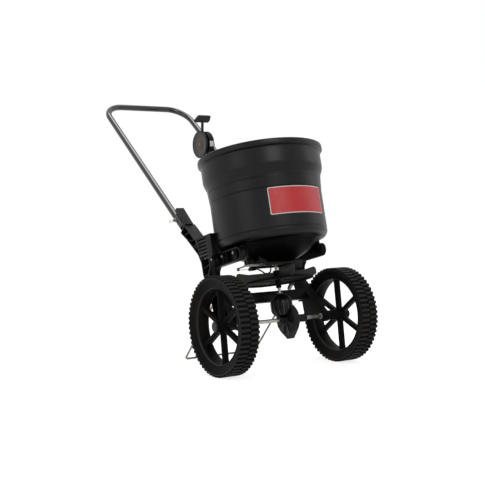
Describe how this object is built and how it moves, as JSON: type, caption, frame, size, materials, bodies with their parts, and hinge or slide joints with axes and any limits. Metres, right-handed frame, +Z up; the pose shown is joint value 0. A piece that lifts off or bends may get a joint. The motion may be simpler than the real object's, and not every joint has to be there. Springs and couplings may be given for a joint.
{
  "type": "garden spreader",
  "caption": "Walk-behind broadcast spreader: round hopper over a geared impeller, treaded wheels, wire stand and a bent-tube handle with a metering lever.",
  "frame": {"origin": "middle of the footprint on the ground, between the wheels' fronts and the handle's rear end", "axes": "+Z up, +X to the user's right along the axle, +Y to the rear, towards the handle; it travels along -Y"},
  "size_m": [0.516, 1.0533, 0.9261],
  "materials": {
    "hopper": "satin moulded polyethylene",
    "moulding": "fine satin polypropylene",
    "wheel_poly": "matte blow-moulded poly",
    "painted_tube": "gloss black",
    "steel": "bright drawn",
    "zinc": "zinc plated",
    "nylon": "natural nylon",
    "acetal": "satin",
    "dial_face": "satin",
    "cable": "satin sheath"
  },
  "bodies": {
    "machine": {"hopper": "hopper", "side_frame_right": "moulding", "side_frame_left": "moulding", "cross_member": "moulding", "gearbox_front": "moulding", "gearbox_rear": "moulding", "shutter_guide": "moulding", "dial_case": "moulding", "handle_tube": "painted_tube", "hair_cotter_right": "steel", "hair_cotter_left": "steel", "dial_wire": "steel", "push_nut_right": "zinc", "push_nut_left": "zinc", "handle_pin_right": "zinc", "handle_pin_left": "zinc", "stand_wire": "zinc", "hopper_bolt_1": "zinc", "hopper_bolt_2": "zinc", "hopper_bolt_3": "zinc", "hopper_bolt_4": "zinc", "hopper_bolt_5": "zinc", "hopper_bolt_6": "zinc", "cable_ferrule": "zinc", "dial_bolt": "zinc", "dial_nut": "zinc", "axle_bush_right": "nylon", "axle_bush_left": "nylon", "floor_bush": "nylon", "neck_bush": "nylon", "cable_clip_lower": "acetal", "cable_clip_upper": "acetal", "dial_plate": "dial_face", "cable_sheath": "cable"},
    "axle_gear": {"axle": "steel", "drive_wheel": "wheel_poly", "hub_cap_left": "acetal", "drive_pin": "zinc", "axle_pin_left": "zinc", "axle_pin_right": "zinc", "bevel_gear": "acetal", "gear_pin": "zinc"},
    "idler": {"idler_wheel": "wheel_poly", "hub_cap_right": "acetal"},
    "spinner": {"impeller_shaft": "steel", "bevel_pinion": "acetal", "pinion_pin": "zinc", "impeller": "moulding", "impeller_pin": "zinc", "agitator": "moulding", "agitator_pin": "zinc"},
    "shutter": {"shutter_slide": "zinc", "shutter_wire": "steel"},
    "lever": {"control_lever": "acetal", "lever_grip": "moulding"}
  },
  "joints": [
    {"name": "axle_spin", "type": "hinge", "parent": "machine", "child": "axle_gear", "pos_m": [0, -0.3742, 0.15247], "axis": [1, 0, 0], "continuous": true},
    {"name": "idler_spin", "type": "hinge", "parent": "machine", "child": "idler", "pos_m": [0, -0.3742, 0.15247], "axis": [1, 0, 0], "continuous": true},
    {"name": "impeller_spin", "type": "hinge", "parent": "machine", "child": "spinner", "pos_m": [0, -0.3742, 0.15247], "axis": [0, 0.2048, 0.9788], "continuous": true},
    {"name": "lever_turn", "type": "hinge", "parent": "machine", "child": "lever", "pos_m": [0.1425, 0.3214, 0.76089], "axis": [1, 0, 0], "range_deg": [0, 60]},
    {"name": "shutter_travel", "type": "slide", "parent": "machine", "child": "shutter", "axis": [1, 0, 0], "range_m": [0, 0.03]}
  ],
  "couplings": [
    {"joint": "impeller_spin", "follows": "axle_spin", "ratio": -3},
    {"joint": "shutter_travel", "follows": "lever_turn", "m_per_rad": 0.028648}
  ]
}
